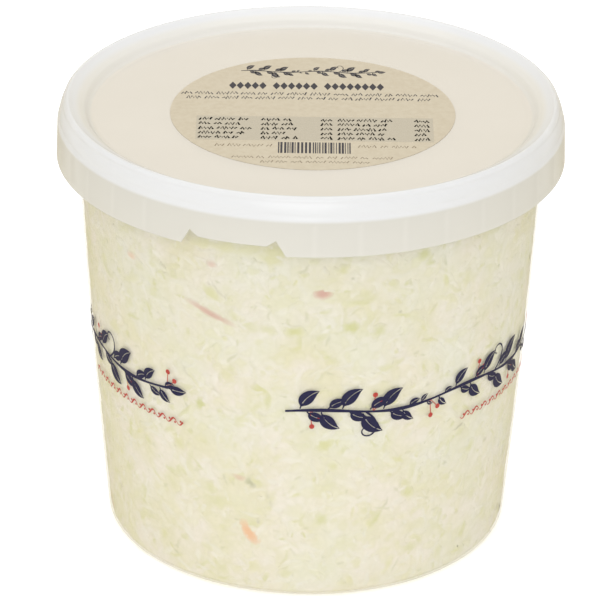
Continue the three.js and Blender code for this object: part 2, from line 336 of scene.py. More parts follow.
def dressed_cabbage(name, leaf_colour, other_colour):
    """Finely cut cabbage in mayonnaise dressing: an ivory emulsion in soft warm and cool patches,
    cooler towards the top and the right, thin grey-green lines of painted shade in the gaps between
    the pieces in it, and a moist shine. A shred's own colour shows where it touches the wall."""
    material, tree = new_material(name)
    place = node(tree, "ShaderNodeTexCoord", {}).outputs["Object"]
    patches = node(tree, "ShaderNodeTexNoise",
                   {"Vector": place, "Scale": per_mm(15), "Detail": 2.0, "Roughness": 0.55})
    warmth = node(tree, "ShaderNodeMapRange",
                  {"Value": patches.outputs["Fac"], "From Min": 0.38, "From Max": 0.62})
    dressing = node(tree, "ShaderNodeMix",
                    {"Factor": warmth.outputs[0], 6: hex_colour("EAE2D5"), 7: hex_colour("E3DDBF")},
                    data_type="RGBA")
    cool = node(tree, "ShaderNodeTexNoise", {"Vector": place, "Scale": per_mm(21), "Detail": 1.0})
    drift = node(tree, "ShaderNodeVectorMath", {0: place, 1: DRESSING_COOLING},
                 operation="DOT_PRODUCT")
    raised = node(tree, "ShaderNodeMath", {0: cool.outputs["Fac"], 1: drift.outputs["Value"]},
                  operation="ADD")
    coolness = node(tree, "ShaderNodeMapRange",
                    {"Value": raised.outputs[0], "From Min": 0.5, "From Max": 0.9, "To Max": 0.7})
    dressing = node(tree, "ShaderNodeMix",
                    {"Factor": coolness.outputs[0], 6: dressing.outputs[2], 7: hex_colour("E4E5D7")},
                    data_type="RGBA")
    bend = node(tree, "ShaderNodeTexNoise", {"Vector": place, "Scale": per_mm(5), "Detail": 2.0})
    pull = node(tree, "ShaderNodeVectorMath",
                {0: bend.outputs["Color"], 1: BIT_PULL, 2: place}, operation="MULTIPLY_ADD")
    bits = node(tree, "ShaderNodeTexVoronoi",
                {"Vector": pull.outputs["Vector"], "Scale": per_mm(BIT_SIZE)})
    # the edges between the bits carry painted shade: grey-green lines that stand in for the shade in the
    # gaps between the pieces
    gap_shade_edges = node(tree, "ShaderNodeTexVoronoi",
                   {"Vector": pull.outputs["Vector"], "Scale": per_mm(BIT_SIZE)},
                   feature="DISTANCE_TO_EDGE")
    kind = node(tree, "ShaderNodeSeparateColor", {"Color": bits.outputs["Color"]})
    leafy = node(tree, "ShaderNodeMapRange",
                 {"Value": kind.outputs[0], "From Min": 0.55, "From Max": 1.0, "To Max": 0.3})
    bitty = node(tree, "ShaderNodeMix",
                 {"Factor": leafy.outputs[0], 6: dressing.outputs[2], 7: hex_colour("D9D79C")},
                 data_type="RGBA")
    # rim: how much painted shade each point gets, most right on an edge
    rim = node(tree, "ShaderNodeMapRange",
               {"Value": gap_shade_edges.outputs["Distance"], "From Min": 0.0, "From Max": 0.3,
                "To Min": 0.14, "To Max": 0.0})
    gap_shaded = node(tree, "ShaderNodeMix",
                  {"Factor": rim.outputs[0], 6: bitty.outputs[2], 7: hex_colour("BCBB8E")},
                  data_type="RGBA")
    leaf = node(tree, "ShaderNodeMix",
                {"Factor": node(tree, "ShaderNodeAttribute", {}, attribute_name="shade").outputs["Fac"],
                 6: hex_colour(leaf_colour), 7: hex_colour(other_colour)}, data_type="RGBA")
    show = node(tree, "ShaderNodeAttribute", {}, attribute_name="show")
    colour = node(tree, "ShaderNodeMix",
                  {"Factor": show.outputs["Fac"], 6: gap_shaded.outputs[2], 7: leaf.outputs[2]},
                  data_type="RGBA")
    relief = node(tree, "ShaderNodeBump",
                  {"Height": bend.outputs["Fac"], "Strength": 0.3, "Distance": 0.4 * MM})
    shader = node(tree, "ShaderNodeBsdfPrincipled",
                  {"Base Color": colour.outputs[2], "Roughness": 0.42, "IOR": 1.45,
                   "Normal": relief.outputs["Normal"]})
    finish(tree, shader)
    return material


def uncoated_paper(name, colour, fleck_colour):
    """Uncoated tan label paper: flat and matt, with faint darker fibres, drawn coarser than they
    are so that they show."""
    material, tree = new_material(name)
    place = node(tree, "ShaderNodeTexCoord", {}).outputs["Object"]
    fibres = node(tree, "ShaderNodeTexNoise",
                  {"Vector": place, "Scale": per_mm(2.4), "Detail": 5.0, "Roughness": 0.65})
    base = node(tree, "ShaderNodeValToRGB", {"Fac": fibres.outputs["Fac"]})
    base.color_ramp.elements[0].position = 0.35
    base.color_ramp.elements[0].color = hex_colour(fleck_colour)
    base.color_ramp.elements[1].position = 0.6
    base.color_ramp.elements[1].color = hex_colour(colour)
    relief = node(tree, "ShaderNodeBump",
                  {"Height": fibres.outputs["Fac"], "Strength": 0.3, "Distance": 0.04 * MM})
    shader = node(tree, "ShaderNodeBsdfPrincipled",
                  {"Base Color": base.outputs["Color"], "Roughness": 0.72, "IOR": 1.45,
                   "Normal": relief.outputs["Normal"]})
    finish(tree, shader)
    return material


def printing_ink(name, colour, thin_colour):
    """Flexographic ink: an even matt film that thins a little in the grain of what it is on."""
    material, tree = new_material(name)
    place = node(tree, "ShaderNodeTexCoord", {}).outputs["Object"]
    grain = node(tree, "ShaderNodeTexNoise",
                 {"Vector": place, "Scale": per_mm(0.7), "Detail": 3.0, "Roughness": 0.6})
    base = node(tree, "ShaderNodeValToRGB", {"Fac": grain.outputs["Fac"]})
    base.color_ramp.elements[0].position = 0.45
    base.color_ramp.elements[0].color = hex_colour(colour)
    base.color_ramp.elements[1].position = 0.8
    base.color_ramp.elements[1].color = hex_colour(thin_colour)
    shader = node(tree, "ShaderNodeBsdfPrincipled",
                  {"Base Color": base.outputs["Color"], "Roughness": 0.6, "IOR": 1.45})
    finish(tree, shader)
    return material


def lit_acrylic(name, colour, falloff_colour):
    """The table: opal acrylic, matt on top and lit a little from below round the tub, so that
    shadows stay faint; that glow is its own emission. Its colour darkens towards its edges as a
    painted falloff of light, and the glow fades there."""
    material, tree = new_material(name)
    place = node(tree, "ShaderNodeTexCoord", {}).outputs["Object"]
    grain = node(tree, "ShaderNodeTexNoise", {"Vector": place, "Scale": per_mm(6), "Detail": 2.0})
    rough = node(tree, "ShaderNodeMapRange",
                 {"Value": grain.outputs["Fac"], "To Min": 0.6, "To Max": 0.7})
    away = node(tree, "ShaderNodeVectorMath", {0: place}, operation="LENGTH")
    # painted falloff: darker colour and less glow away from the tub
    edge = node(tree, "ShaderNodeMapRange",
                {"Value": away.outputs["Value"], "From Min": 0.55, "From Max": 1.5},
                interpolation_type="SMOOTHSTEP")
    base = node(tree, "ShaderNodeMix",
                {"Factor": edge.outputs[0], 6: hex_colour(colour), 7: hex_colour(falloff_colour)},
                data_type="RGBA")
    glow = node(tree, "ShaderNodeMapRange", {"Value": edge.outputs[0], "To Min": 0.3, "To Max": 0.0})
    shader = node(tree, "ShaderNodeBsdfPrincipled",
                  {"Base Color": base.outputs[2], "Roughness": rough.outputs["Result"],
                   "Emission Color": hex_colour("FFFFFF"), "Emission Strength": glow.outputs[0]})
    finish(tree, shader)
    return material


# ---- tub ----

def tub_profile():
    """The tub's section: underside, corner, wall, curled rim, then back down inside."""
    corner_radius = TUB_BASE_RADIUS - TUB_CORNER
    heights = np.linspace(TUB_CORNER, TUB_WALL_TOP, 40)[1:]
    underside = [(0, TUB_FOOT_LIFT), (TUB_FOOT_INNER - 0.6, TUB_FOOT_LIFT),
                 (TUB_FOOT_INNER + 0.2, TUB_FOOT_LIFT * 0.8), (TUB_FOOT_INNER + 1.2, 0.15),
                 (TUB_FOOT_INNER + 2.0, 0)]
    corner = arc(corner_radius, TUB_CORNER, TUB_CORNER, -90, 0, 8)
    wall = [(float(wall_radius(z)), z) for z in heights]
    lip_inner = RIM_RADIUS - RIM_WALL
    channel = (lip_inner - TUB_WALL_TOP_RADIUS) / 2
    centre = TUB_WALL_TOP_RADIUS + channel
    crown = RIM_TOP - RIM_WALL - channel
    rim = [*arc(centre, crown, channel, 180, 0, 8), (lip_inner, RIM_LIP_BOTTOM + 0.3),
           (lip_inner + 0.3, RIM_LIP_BOTTOM), (RIM_RADIUS - 0.3, RIM_LIP_BOTTOM),
           (RIM_RADIUS, RIM_LIP_BOTTOM + 0.3), *arc(centre, crown, RIM_TOP - crown, 0, 180, 16)]
    inside = [(float(wall_radius(z)) - TUB_WALL, z) for z in heights[::-1] if z < TUB_WALL_TOP - 1]
    inner = TUB_CORNER - TUB_WALL
    floor = [*arc(corner_radius, COLESLAW_FLOOR + inner, inner, 0, -90, 6), (0, COLESLAW_FLOOR)]
    return underside + corner + wall + rim + inside + floor


def make_tub():
    """The tub, turned in one closed skin."""
    verts, faces = turned(tub_profile(), even_turns(ROUND))
    add_piece("tub_wall", verts, faces, tub_polypropylene(), "tub")


# ---- coleslaw ----

def coleslaw_profile():
    """The dressing's section, out to a little way into the wall."""
    reach = TUB_WALL - INTO_WALL
    corner_radius = TUB_BASE_RADIUS - TUB_CORNER
    inner = TUB_CORNER - reach
    bottom = TUB_CORNER - inner
    heights = np.linspace(TUB_CORNER, COLESLAW_TOP - 1.2, 190)[1:]
    side = [(float(wall_radius(z)) - reach, z) for z in heights]
    edge = side[-1][0]
    top = [(edge - 0.4, COLESLAW_TOP - 0.4), (edge - 1.4, COLESLAW_TOP)]
    spread = np.linspace(edge - 3, 0, 36)
    return ([(0, bottom), (corner_radius * 0.5, bottom), *arc(corner_radius, TUB_CORNER, inner, -90, 0, 5)]
            + side + top + [(r, COLESLAW_TOP) for r in spread])


def ripple(x, y, z, size, seed):
    """A smooth random value from -1 to 1 at each point, from a few crossed waves."""
    waves = np.random.default_rng(seed)
    total = np.zeros(np.shape(x))
    for _ in range(10):
        direction = waves.normal(size=3)
        direction *= 2 * math.pi / (size * np.linalg.norm(direction) * waves.uniform(0.7, 1.4))
        total += np.sin(x * direction[0] + y * direction[1] + z * direction[2] + waves.uniform(0, 6.3))
    return total / 4.5


def make_core(material):
    """The dressing with everything too fine to see: uneven, and pressed just into the wall."""
    verts, faces = turned(coleslaw_profile(), even_turns(ROUND))
    verts = np.array(verts)
    x, y, z = verts.T
    uneven = 0.09 * ripple(x, y, z, size=9, seed=1) + 0.06 * ripple(x, y, z, size=3.5, seed=2)
    mounds = 0.5 * ripple(x, y, z, size=30, seed=3) + 0.25 * ripple(x, y, z, size=6, seed=4)
    side = (z > TUB_CORNER) & (z < COLESLAW_TOP - 1)
    radius = np.hypot(x, y)
    grow = np.where(side, uneven, 0) / np.maximum(radius, 1)
    verts[:, 0] += x * grow
    verts[:, 1] += y * grow
    top = (z >= COLESLAW_TOP - 1e-6) & (radius < np.max(radius) - 2)
    verts[:, 2] += np.where(top, mounds, 0)
    core = add_piece("coleslaw_dressing", verts, faces, material, "coleslaw", sharp=60)
    for name in ("show", "shade"):
        core.data.attributes.new(name, "FLOAT", "POINT")
    return core


# Cross-section of a shred: across its width, through its thickness, and how plainly it shows.
SHRED_ACROSS = np.array([-1.15, -0.3, 0.3, 1.15, 0])
SHRED_THROUGH = np.array([-0.34, 0, 0, -0.34, -1])
SHRED_SHOW = np.array([0, 1, 1, 0, 0])
SHRED_SINK = (0.15, 0.5)  # how deep its ends go into the dressing
SHRED_TILT = 0.025  # how far one leans to a side, in radians


def scattered(rng, count, length, width, show, turns=(-180, 180)):
    """Places for loose pieces: turn, height, lie in degrees, length, width, how plainly each
    shows and its tone."""
    turn = rng.uniform(*turns, count)
    height = rng.uniform(4, COLESLAW_TOP - 2, count)
    lie = rng.uniform(-90, 90, count)
    long = length[0] + (length[1] - length[0]) * rng.uniform(0, 1, count) ** 1.6
    wide, strength, tone = rng.uniform(*width, count), rng.uniform(*show, count), rng.uniform(0, 1, count)
    return np.stack([turn, height, lie, long, wide, strength, tone], -1)


def make_shreds(name, material, laid, thickness, bend, seed, proud=(0.1, 0.22), wobble=0.25,
                steps=7):
    """Pieces of one kind, pressed flat against the wall, their ends sunk in the dressing. bend is
    how much they curl, proud how far they stand out of it and wobble how uneven their width is."""
    rng = np.random.default_rng(seed)
    turn, height, lie, long, wide, strength, tone = np.array(laid, float).T
    count = len(turn)
    lie, wide = np.radians(lie), wide / 2
    along = np.linspace(-0.5, 0.5, steps)
    thick = rng.uniform(*thickness, count)
    curl = rng.normal(0, bend, count)
    top = rng.uniform(*proud, count)
    sink = rng.uniform(*SHRED_SINK, count)
    tilt = rng.normal(0, SHRED_TILT, count)
    # each curls one way with a slight wave, narrows at its ends and has uneven sides
    heading = lie[:, None] + curl[:, None] * along + 0.35 * bend * np.sin(9 * along + tone[:, None] * 6)
    step = (long / (steps - 1))[:, None]
    u = np.cumsum(np.cos(heading) * step, 1)
    v = np.cumsum(np.sin(heading) * step, 1)
    u -= u.mean(1, keepdims=True)
    v -= v.mean(1, keepdims=True)
    taper = np.sqrt(np.clip(1 - (2 * np.abs(along)) ** 5, 0.06, 1)) * wide[:, None]
    taper = taper * (1 + wobble * np.sin(14 * along + tone[:, None] * 9))
    offset = top[:, None] - sink[:, None] * (2 * along) ** 6
    # rings of points: shred, step along, place in the cross-section
    across = taper[:, :, None] * SHRED_ACROSS
    uu = u[:, :, None] - np.sin(heading)[:, :, None] * across
    vv = v[:, :, None] + np.cos(heading)[:, :, None] * across
    through = offset[:, :, None] + thick[:, None, None] * SHRED_THROUGH + tilt[:, None, None] * across
    z = np.clip(height[:, None, None] + vv, COLESLAW_FLOOR, COLESLAW_TOP)
    radius = wall_radius(z) - TUB_WALL + INTO_WALL + through
    degrees = turn[:, None, None] + np.degrees(uu / radius)
    verts = on_tub(radius, degrees, z).reshape(-1, 3)
    shown = strength[:, None, None] * SHRED_SHOW * ((1 - (2 * along) ** 2) ** 1.5)[None, :, None]
    shades = np.broadcast_to(tone[:, None, None], shown.shape)
    m = len(SHRED_ACROSS)
    ring = np.arange(m)
    quads = []
    for i in range(steps - 1):
        a, b = i * m + ring, i * m + (ring + 1) % m
        quads.append(np.stack([a, b, b + m, a + m], -1))
    quads = np.concatenate(quads)
    starts = np.arange(count) * steps * m
    faces = (starts[:, None, None] + quads).reshape(-1, 4).tolist()
    caps = [tuple(int(s + k) for k in ring[::-1]) for s in starts]
    caps += [tuple(int(s + (steps - 1) * m + k) for k in ring) for s in starts]
    piece = add_piece(name, verts, faces + caps, material, sharp=70)
    for label, values in (("show", shown), ("shade", shades)):
        layer = piece.data.attributes.new(label, "FLOAT", "POINT")
        layer.data.foreach_set("value", values.reshape(-1).astype(np.float32))
    return piece


# Loose pieces of each kind: how many, and the range of their length, width and how plainly
# they show. Those of carrot keep to the back half.
WHITE_SHREDS = (2500, (4, 15), (1.4, 3.4), (0.15, 0.65))
YELLOW_SHREDS = (1100, (3, 11), (1.4, 3.4), (0.06, 0.55))
STEM_BITS = (900, (2, 9), (0.9, 1.7), (0.08, 0.45))
LEAF_PATCHES = (330, (5, 15), (2.6, 6.0), (0.06, 0.4))
OUTER_LEAF_FLECKS = (80, (1.6, 5.0), (1.0, 2.0), (0.08, 0.34))
CARROT_SHREDS = (12, (3, 9), (1.6, 3.0), (0.4, 0.9), (75, 285))

# Pieces that stand out: turn, height, lie, length, width, how plainly shown, tone.
CARROT_PLACES = [
    (-25.2, 112.2, -19, 23.0, 3.0, 0.85, 0.95), (-15.6, 25.6, -58, 14.0, 5.0, 1.05, 0.0),
    (3.3, 124.0, 3, 8.6, 4.4, 1.05, 0.9), (-24.3, 131.5, 0, 5.0, 2.8, 0.5, 0.9),
    (-49.8, 124.2, -5, 6.0, 3.0, 0.5, 0.1), (-18.1, 48.0, -10, 6.0, 3.0, 0.5, 0.8)]
LEAF_PLACES = [
    (-15.0, 46.4, -38, 6.4, 3.4, 0.6, 0.5), (-35.9, 55.9, 20, 4.6, 2.4, 0.6, 0.3),
    (-9.8, 40.2, -78, 9.0, 2.0, 0.2, 0.4)]
PATCH_PLACES = [
    (4.8, 63.2, 21, 8.5, 5.4, 0.75, 0.3), (10.6, 110.6, 0, 8.5, 5.0, 0.85, 0.7),
    (-12.0, 85.0, -10, 9.0, 5.0, 0.65, 0.4), (28.5, 135.3, 74, 7.0, 5.4, 0.7, 0.9),
    (-28.9, 75.1, 82, 6.5, 4.4, 0.85, 0.9), (-20.8, 88.4, -78, 7.0, 5.4, 0.45, 0.2),
    (4.1, 33.1, -35, 6.5, 4.8, 0.6, 0.8), (-3.5, 108.9, 4, 8.5, 3.8, 0.75, 0.5),
    (-17.2, 71.0, 32, 9.0, 5.4, 0.4, 0.3), (-13.5, 46.8, -10, 7.0, 4.8, 0.45, 0.6),
    (12.7, 120.5, 7, 15.0, 3.4, 0.5, 0.7), (28.5, 39.8, 50, 5.5, 5.4, 0.6, 0.6),
    (-35.9, 55.9, 35, 6.0, 5.4, 0.5, 0.2), (17.7, 108.2, 58, 6.5, 4.4, 0.55, 0.9),
    (-26.7, 41.4, 90, 6.5, 4.6, 0.45, 0.5), (-10.0, 108.6, -8, 8.5, 3.8, 0.45, 0.6),
    (30.4, 16.1, 7, 7.0, 4.4, 0.5, 0.8), (-52.9, 17.9, 46, 8.5, 4.8, 0.4, 0.4),
    (20.4, 126.0, 21, 6.0, 4.8, 0.5, 0.5), (49.8, 49.8, 53, 7.0, 3.8, 0.5, 0.5),
    (-24.7, 119.8, -42, 11.0, 5.0, 0.55, 0.3), (-15.1, 12.2, -38, 12.0, 6.0, 0.45, 0.1),
    # The last five lie in a row just under the tear tab's hem, so that the band there is darker and
    # yellower.
    (-8.4, 139.2, 0, 14.0, 6.5, 0.5, 0.1), (-15.0, 139.8, 4, 16.0, 4.6, 0.35, 0.1),
    (-21.5, 139.5, -2, 16.0, 4.6, 0.4, 0.1), (-27.0, 138.8, 3, 13.0, 5.0, 0.45, 0.1),
    (-9.4, 136.8, -25, 12.0, 5.0, 0.45, 0.1)]


def make_coleslaw():
    """The dressing, and six kinds of shredded pieces against the wall."""
    white = dressed_cabbage("white cabbage in dressing", "EFEBE1", "E2E0D2")
    yellow = dressed_cabbage("yellow-green cabbage in dressing", "D1CF7C", "C2C670")
    stem = dressed_cabbage("cabbage rib in dressing", "BFC08E", "ABAF80")
    outer = dressed_cabbage("outer cabbage leaf in dressing", "969A58", "6C7040")
    carrot = dressed_cabbage("carrot in dressing", "E9B07E", "CC968A")
    make_core(white)
    rng = np.random.default_rng(SEED)
    patches = np.vstack([scattered(rng, *LEAF_PATCHES), PATCH_PLACES])
    flecks = np.vstack([scattered(rng, *OUTER_LEAF_FLECKS), LEAF_PLACES])
    carrots = np.vstack([scattered(rng, *CARROT_SHREDS), CARROT_PLACES])
    make_shreds("shreds_white", white, scattered(rng, *WHITE_SHREDS),
                thickness=(0.6, 0.9), bend=0.7, seed=SEED)
    make_shreds("leaf_patches", yellow, patches,
                thickness=(0.5, 0.8), bend=0.5, seed=SEED + 1, proud=(0.16, 0.28), steps=9)
    make_shreds("shreds_yellow", yellow, scattered(rng, *YELLOW_SHREDS),
                thickness=(0.5, 0.8), bend=0.7, seed=SEED + 2)
    make_shreds("shreds_stem", stem, scattered(rng, *STEM_BITS),
                thickness=(0.4, 0.6), bend=0.8, seed=SEED + 3, proud=(0.06, 0.14))
    make_shreds("shreds_outer", outer, flecks,
                thickness=(0.4, 0.6), bend=0.5, seed=SEED + 4, proud=(0.16, 0.26))
    make_shreds("shreds_carrot", carrot, carrots, thickness=(0.7, 1.0), bend=0.2, seed=SEED + 5,
                proud=(0.25, 0.35), wobble=0.08, steps=15)


# ---- lid ----

def tab_corners():
    """Where the hem bends along the tear tab, from its left end to its right one."""
    half = TAB_NOTCH_HALF
    return np.array([TAB_LEFT, TAB_LEFT + half, TAB_LEFT + 2 * half,
                     TAB_RIGHT - 2 * half, TAB_RIGHT - half, TAB_RIGHT])


def signed(degrees):
    """The same angle, from -180 to 180."""
    return (degrees + 180) % 360 - 180


def tab_lift(angles):
    """How far the hem is raised at each angle: a shallow window with a V cut at each end."""
    return np.interp(signed(angles), tab_corners(), [0, TAB_NOTCH, TAB_LIFT, TAB_LIFT, TAB_NOTCH, 0])


def lid_angles():
    """Even steps round the lid, but with a step of its own for each corner of the tear tab."""
    even = even_turns(ROUND)
    corners = tab_corners() % 360
    apart = np.abs(signed(even[:, None] - corners)).min(1) > 0.3
    return np.sort(np.concatenate([even[apart], corners]))


def lid_upper_line():
    """The lid's upper face, from its centre out and down to the top of the skirt."""
    panel = [(r, LID_PANEL_HEIGHT) for r in (0, 20, 40, 60, 73)]
    return np.vstack([panel, smooth_line(LID_RIM, 2)])


def make_lid_mesh():
    """The lid without its ribs: both faces, the catch ridge inside the skirt and the cut hem."""
    upper = lid_upper_line()
    lower = offset_line(upper, -LID_WALL)
    lower[0, 0] = 0
    skirt_inner = LID_SKIRT_RADIUS - LID_WALL
    ridge_inner = skirt_inner - CATCH_RIDGE_DEPTH
    ridge_end = CATCH_RIDGE_HEIGHT - CATCH_RIDGE_FALL
    ridge = [(ridge_inner, CATCH_RIDGE_HEIGHT + 0.2), (ridge_inner, CATCH_RIDGE_HEIGHT - 0.2),
             (skirt_inner - 0.2, ridge_end)]
    hem = [(skirt_inner, LID_SKIRT_BOTTOM + 0.2), (skirt_inner + 0.2, LID_SKIRT_BOTTOM),
           (LID_SKIRT_RADIUS - 0.25, LID_SKIRT_BOTTOM), (LID_SKIRT_RADIUS, LID_SKIRT_BOTTOM + 0.25)]
    top_radius, top = upper[-1]
    heights = np.linspace(LID_SKIRT_BOTTOM + 1.2, top - 1.5, 6)
    lean = (LID_SKIRT_RADIUS - top_radius) / (top - LID_SKIRT_BOTTOM)
    skirt = [(LID_SKIRT_RADIUS - lean * (z - LID_SKIRT_BOTTOM), z) for z in heights]
    profile = np.vstack([lower, ridge, hem, skirt, upper[::-1]])
    # only what lies below the catch ridge follows the cut hem
    follow = np.clip(1 - (profile[:, 1] - LID_SKIRT_BOTTOM) / (ridge_end - LID_SKIRT_BOTTOM), 0, 1)
    return turned(profile, lid_angles(), follow, tab_lift)


def rib_angles():
    """The ribs stand evenly round the skirt, with none where the tear tab is cut."""
    turns = signed(360 / RIB_COUNT * np.arange(RIB_COUNT) + RIB_TURN)
    return [float(turn) for turn in turns if not TAB_LEFT - 1 < turn < TAB_RIGHT + 1]


def rib_blocks():
    """Stiffening ribs inside the skirt, closed blocks rooted in its wall."""
    verts, faces = [], []
    bottom, top = LID_SKIRT_BOTTOM + 0.8, CATCH_RIDGE_HEIGHT - 0.6
    outer = LID_SKIRT_RADIUS - LID_WALL * 0.7
    inner = outer - RIB_DEPTH - LID_WALL * 0.3
    half = math.degrees(RIB_WIDTH / 2 / outer)
    for degrees in rib_angles():
        start = len(verts)
        for z in (bottom, top):
            for r, d in ((outer, -half), (inner, -half * 0.7), (inner, half * 0.7), (outer, half)):
                verts.append(on_tub(r, degrees + d, z))
        for k in range(4):
            n = (k + 1) % 4
            faces.append((start + k, start + n, start + 4 + n, start + 4 + k))
        faces += [tuple(start + k for k in (3, 2, 1, 0)), tuple(start + k for k in (4, 5, 6, 7))]
    return verts, faces


def make_lid():
    """The lid and its ribs as one piece, marked where the ribs make it milkier."""
    verts, faces = make_lid_mesh()
    more_verts, more_faces = rib_blocks()
    start = len(verts)
    faces = faces + [tuple(start + k for k in face) for face in more_faces]
    verts = np.vstack([verts, more_verts])
    lid = add_piece("lid_shell", verts, faces, lid_polypropylene(), "lid", sharp=32)
    # the plastic is thicker, so milkier, where a rib stands behind the skirt
    turn = np.degrees(np.arctan2(verts[:, 0], -verts[:, 1]))
    apart = np.min([np.abs(signed(turn - rib)) for rib in rib_angles()], axis=0)
    outside = np.hypot(verts[:, 0], verts[:, 1]) > RIB_SHOWS_BEYOND
    by_rib = outside & (verts[:, 2] < CATCH_RIDGE_HEIGHT + 0.5) & (apart < RIB_SHOWS_HALF)
    layer = lid.data.attributes.new("rib", "FLOAT", "POINT")
    layer.data.foreach_set("value", np.where(by_rib, RIB_SHOWS, 0).astype(np.float32))


# ---- print: strips of ink laid on a surface ----

def strip(line, half_widths, across):
    """A flat strip along a line of (u, v) points, so many faces across: its points and faces."""
    line = np.array(line, float)
    ahead = np.gradient(line, axis=0)
    ahead /= np.linalg.norm(ahead, axis=1)[:, None]
    side = np.stack([-ahead[:, 1], ahead[:, 0]], -1) * np.asarray(half_widths, float)[:, None]
    shares = np.linspace(-1, 1, across + 1)
    points = line[:, None] + side[:, None] * shares[:, None]
    n = across + 1
    faces = [(i * n + k, (i + 1) * n + k, (i + 1) * n + k + 1, i * n + k + 1)
             for i in range(len(line) - 1) for k in range(across)]
    return points.reshape(-1, 2), faces


def joined(strips):
    """Several strips as one set of points and faces."""
    points, faces = [], []
    start = 0
    for part_points, part_faces in strips:
        points.append(part_points)
        faces += [tuple(start + k for k in face) for face in part_faces]
        start += len(part_points)
    return np.vstack(points), faces


def leaf(base, direction, length, width, curl):
    """A pointed leaf on a short stalk, direction in degrees and bending by curl radians, in two
    blades with a thin bare midrib between them."""
    t = np.linspace(0, 1, 14)
    heading = math.radians(direction) + curl * (t - 0.3)
    run = length / (len(t) - 1)
    ahead = np.stack([np.cos(heading), np.sin(heading)], -1)
    line = np.array(base) + np.cumsum(ahead, 0) * run
    side = np.stack([-ahead[:, 1], ahead[:, 0]], -1)
    blade = np.clip((t - 0.12) / 0.88, 0, 1)
    half = width / 2 * np.sin(np.pi * blade ** 0.75)
    gap = np.minimum(0.12, half * 0.5)
    stalk = strip(line[:4], np.linspace(0.22, 0.3, 4), 1)
    blades = []
    for hand in (1, -1):
        middle = line + side * (hand * (half + gap) / 2)[:, None]
        blades.append(strip(middle[1:], np.maximum((half - gap) / 2, 0.05)[1:], 2))
    return [stalk, *blades]


def tendril(base, direction, size, turns, width):
    """A thin stroke that winds up into a curl."""
    t = np.linspace(0, 1, 60)
    heading = math.radians(direction) + turns * 2 * math.pi * t ** 1.5
    run = size * (1 - 0.75 * t) / 14
    ahead = np.stack([np.cos(heading), np.sin(heading)], -1)
    line = np.array(base) + np.cumsum(ahead * run[:, None], 0)
    return strip(line, width / 2 * (1 - 0.5 * t), 2)


def disc(centre, radius):
    """A round dot, built as a strip."""
    t = np.linspace(-1, 1, 16)
    line = np.stack([centre[0] + radius * t, np.full(len(t), centre[1])], -1)
    return strip(line, radius * np.sqrt(np.clip(1 - t**2, 0.001, 1)), 2)


def film_piece(name, points, faces, place, material, slot):
    """Ink as a thin film: its (u, v) points are laid on a surface by place(u, v)."""
    piece = add_piece(name, place(points[:, 0], points[:, 1]), faces, material)
    piece.data.shade_flat()
    film = piece.modifiers.new("film thickness", "SOLIDIFY")
    film.thickness = PRINT_LIFT * 0.8 * MM
    film.offset = -1  # inwards from its face
    return piece


def on_wall(turn, height, layer):
    """Lays (u, v) on the tub's wall: u along it to the right and v up, from a point on it."""
    def place(u, v):
        z = height + v
        radius = wall_radius(z) + PRINT_LIFT * layer
        return on_tub(radius, turn + np.degrees(u / wall_radius(height)), z)
    return place


SPRIG_LENGTH = 120.0
SPRIG_TURNS = (-5.7, 114.3, 234.3)
SPRIG_HEIGHT = 77.0
SPRIG_SIZES = ((0, 30, 50, 70, 90, 120), (0.85, 1.1, 0.35, 0.85, 1.05, 0.6))  # leaf size by place
SPRIG_SPACING = 7.4  # from one pair of leaves to the next
TENDRILS = ((28, -1), (86, 1))  # place along the stem, and below or above it
BERRIES_FROM = 8.7
BERRIES_SPACING = 22.2
VINE_SPAN = (68, 126)
VINE_DROP = 12.0  # below the garland
VINE_SWING = 1.1
VINE_PACE = 1.25  # radians of its wave to a millimetre


def sprig_stem():
    """The garland's stem, in two slow waves."""
    u = np.linspace(0, SPRIG_LENGTH, 120)
    return np.stack([u, 1.2 * np.sin(u / SPRIG_LENGTH * 4 * math.pi + 0.5)], -1)


def sprig_strips():
    """A leafy garland, about as long and tall as a line of script."""
    stem = sprig_stem()
    strips = [strip(stem, 0.4 + 0.3 * np.sin(stem[:, 0] / 9) ** 2, 2)]
    for i, at in enumerate(np.arange(5, SPRIG_LENGTH - 3, SPRIG_SPACING)):
        rise = 1 if i % 2 == 0 else -1
        base = (at, float(np.interp(at, *stem.T)))
        size = float(np.interp(at, *SPRIG_SIZES)) + (0.08 if i % 4 == 0 else 0)
        strips += leaf(base, rise * 60, length=10.4 * size, width=5.0 * size, curl=-1.0 * rise)
        strips += leaf((at + 2.2, base[1]), -rise * 36, length=7.8 * size, width=3.8 * size,
                       curl=0.9 * rise)
    strips += leaf((SPRIG_LENGTH - 0.5, float(stem[-1, 1])), 0, length=8.0, width=3.6, curl=0.3)
    for at, rise in TENDRILS:
        base = (at, float(np.interp(at, *stem.T)))
        strips.append(tendril(base, rise * 35, size=7.0, turns=0.95 * rise, width=0.8))
    return strips


def berry_strips():
    """Round berries on thin stalks, in pairs along the garland."""
    stem = sprig_stem()
    strips = []
    for i, at in enumerate(np.arange(BERRIES_FROM, SPRIG_LENGTH, BERRIES_SPACING)):
        rise = 1 if i % 2 else -1
        base = np.array((at, float(np.interp(at, *stem.T))))
        for reach, lean in ((6.6, 0.1), (5.0, 0.75)):
            tip = base + [reach * math.sin(lean), rise * reach * math.cos(lean)]
            strips.append(strip([base, (base + tip) / 2, tip], [0.16] * 3, 1))
            strips.append(disc(tip, 0.95))
    return strips


